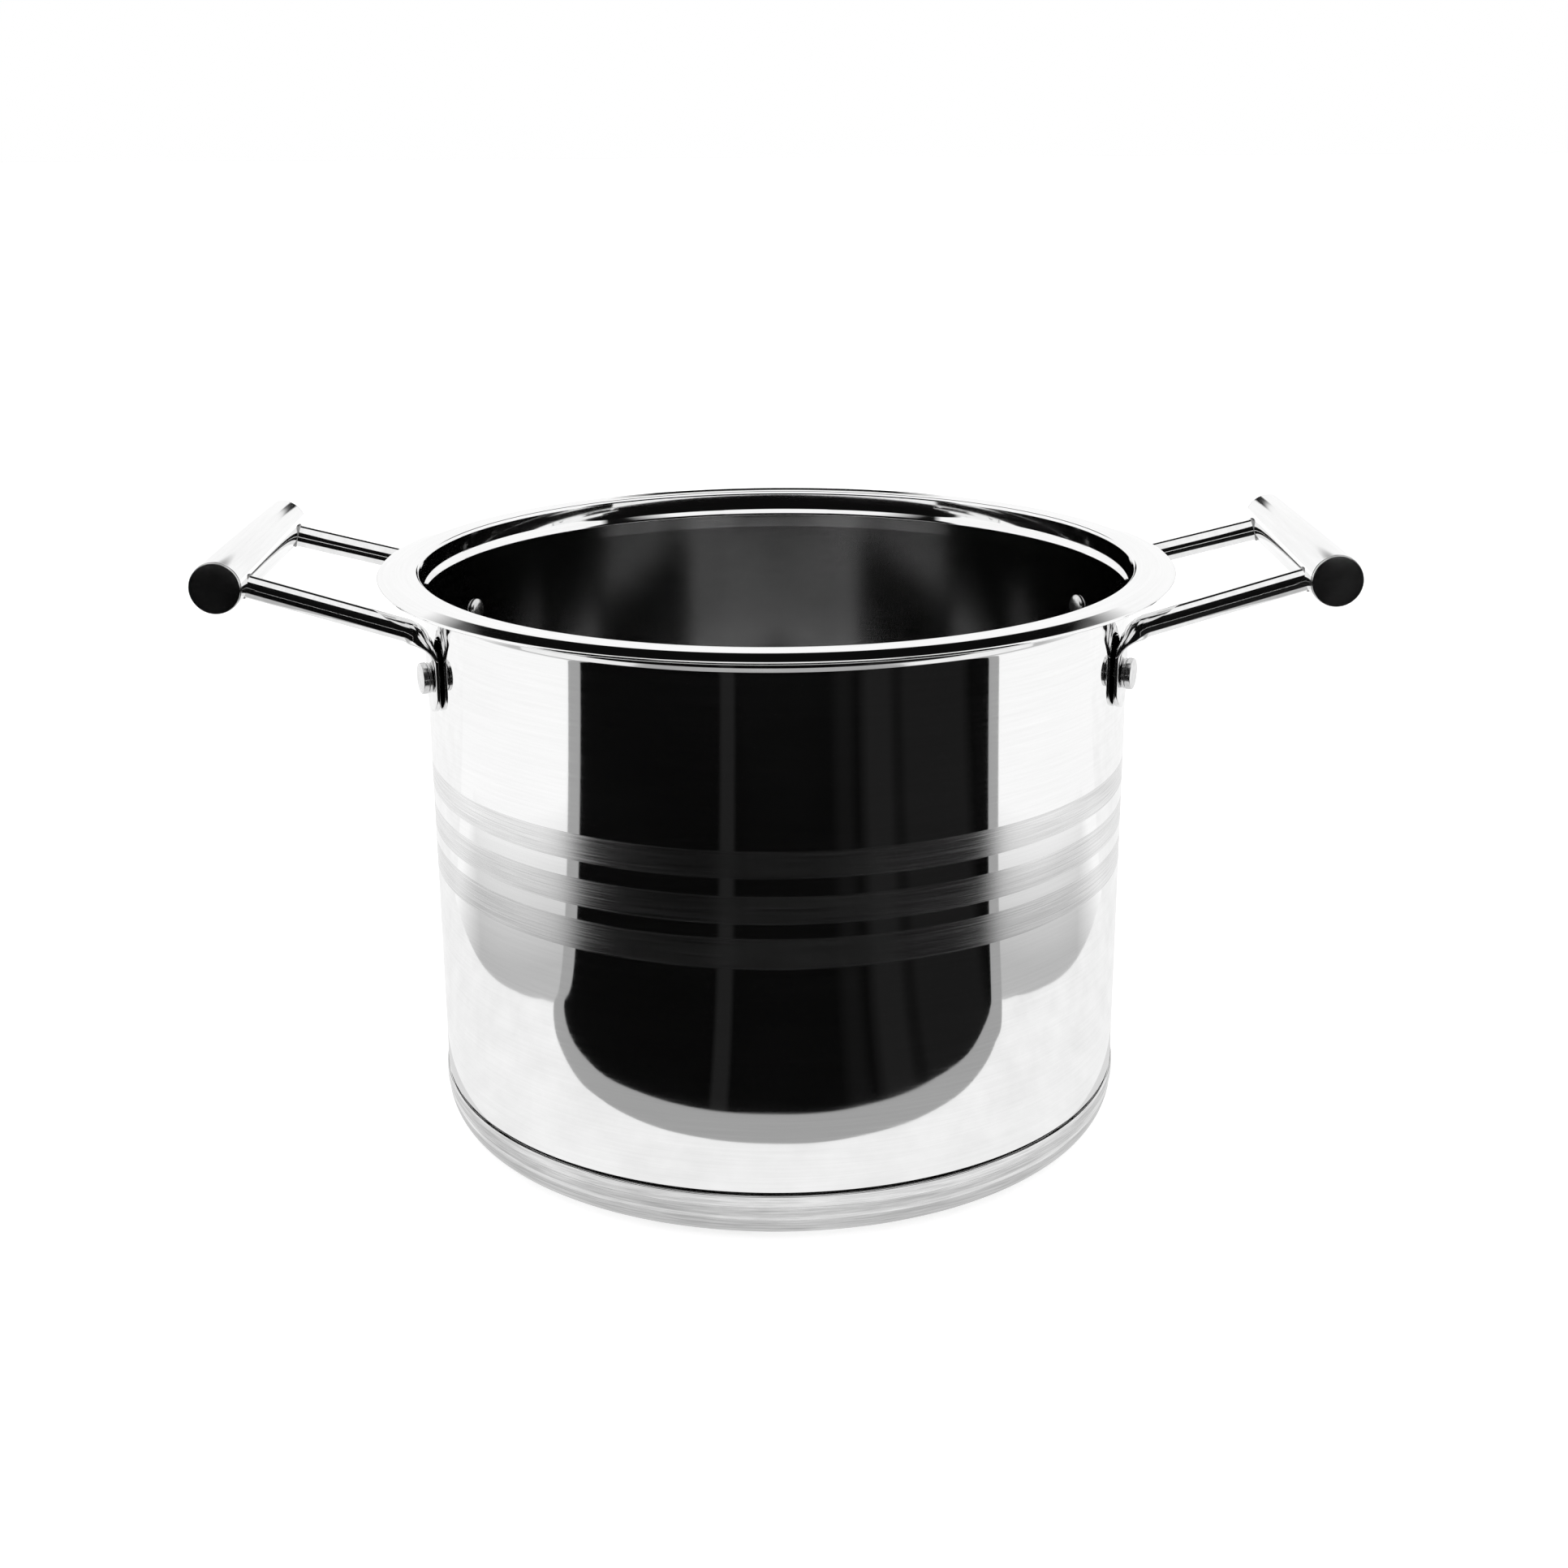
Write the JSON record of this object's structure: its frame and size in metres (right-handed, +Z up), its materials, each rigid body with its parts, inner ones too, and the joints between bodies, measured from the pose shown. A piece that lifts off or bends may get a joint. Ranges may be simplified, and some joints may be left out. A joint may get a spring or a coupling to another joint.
{
  "type": "couscous pot",
  "caption": "Deep straight-sided steel couscous pot with a flat flared pouring rim, a capsule base and two riveted tube handles.",
  "frame": {"origin": "centre of the flat that the pot stands on", "axes": "+Z up along the pot's axis, +X to the right handle, -Y to the front that the picture shows"},
  "size_m": [0.3788, 0.272, 0.208],
  "materials": {
    "pot_steel": "mirror polished outside with three satin bands, satin inside",
    "base_steel": "polished, finely turned",
    "polished_steel": "mirror polished",
    "brushed_steel": "fine brushed",
    "core_aluminium": "bare cast"
  },
  "bodies": {
    "root": {"base_capsule": "base_steel", "base_core": "core_aluminium", "left_front_arm": "polished_steel", "left_front_cap": "brushed_steel", "left_front_rivet": "polished_steel", "left_front_washer": "polished_steel", "left_grip_tube": "polished_steel", "left_rear_arm": "polished_steel", "left_rear_cap": "brushed_steel", "left_rear_rivet": "polished_steel", "left_rear_washer": "polished_steel", "pot_shell": "pot_steel", "right_front_arm": "polished_steel", "right_front_cap": "brushed_steel", "right_front_rivet": "polished_steel", "right_front_washer": "polished_steel", "right_grip_tube": "polished_steel", "right_rear_arm": "polished_steel", "right_rear_cap": "brushed_steel", "right_rear_rivet": "polished_steel", "right_rear_washer": "polished_steel"}
  },
  "joints": []
}
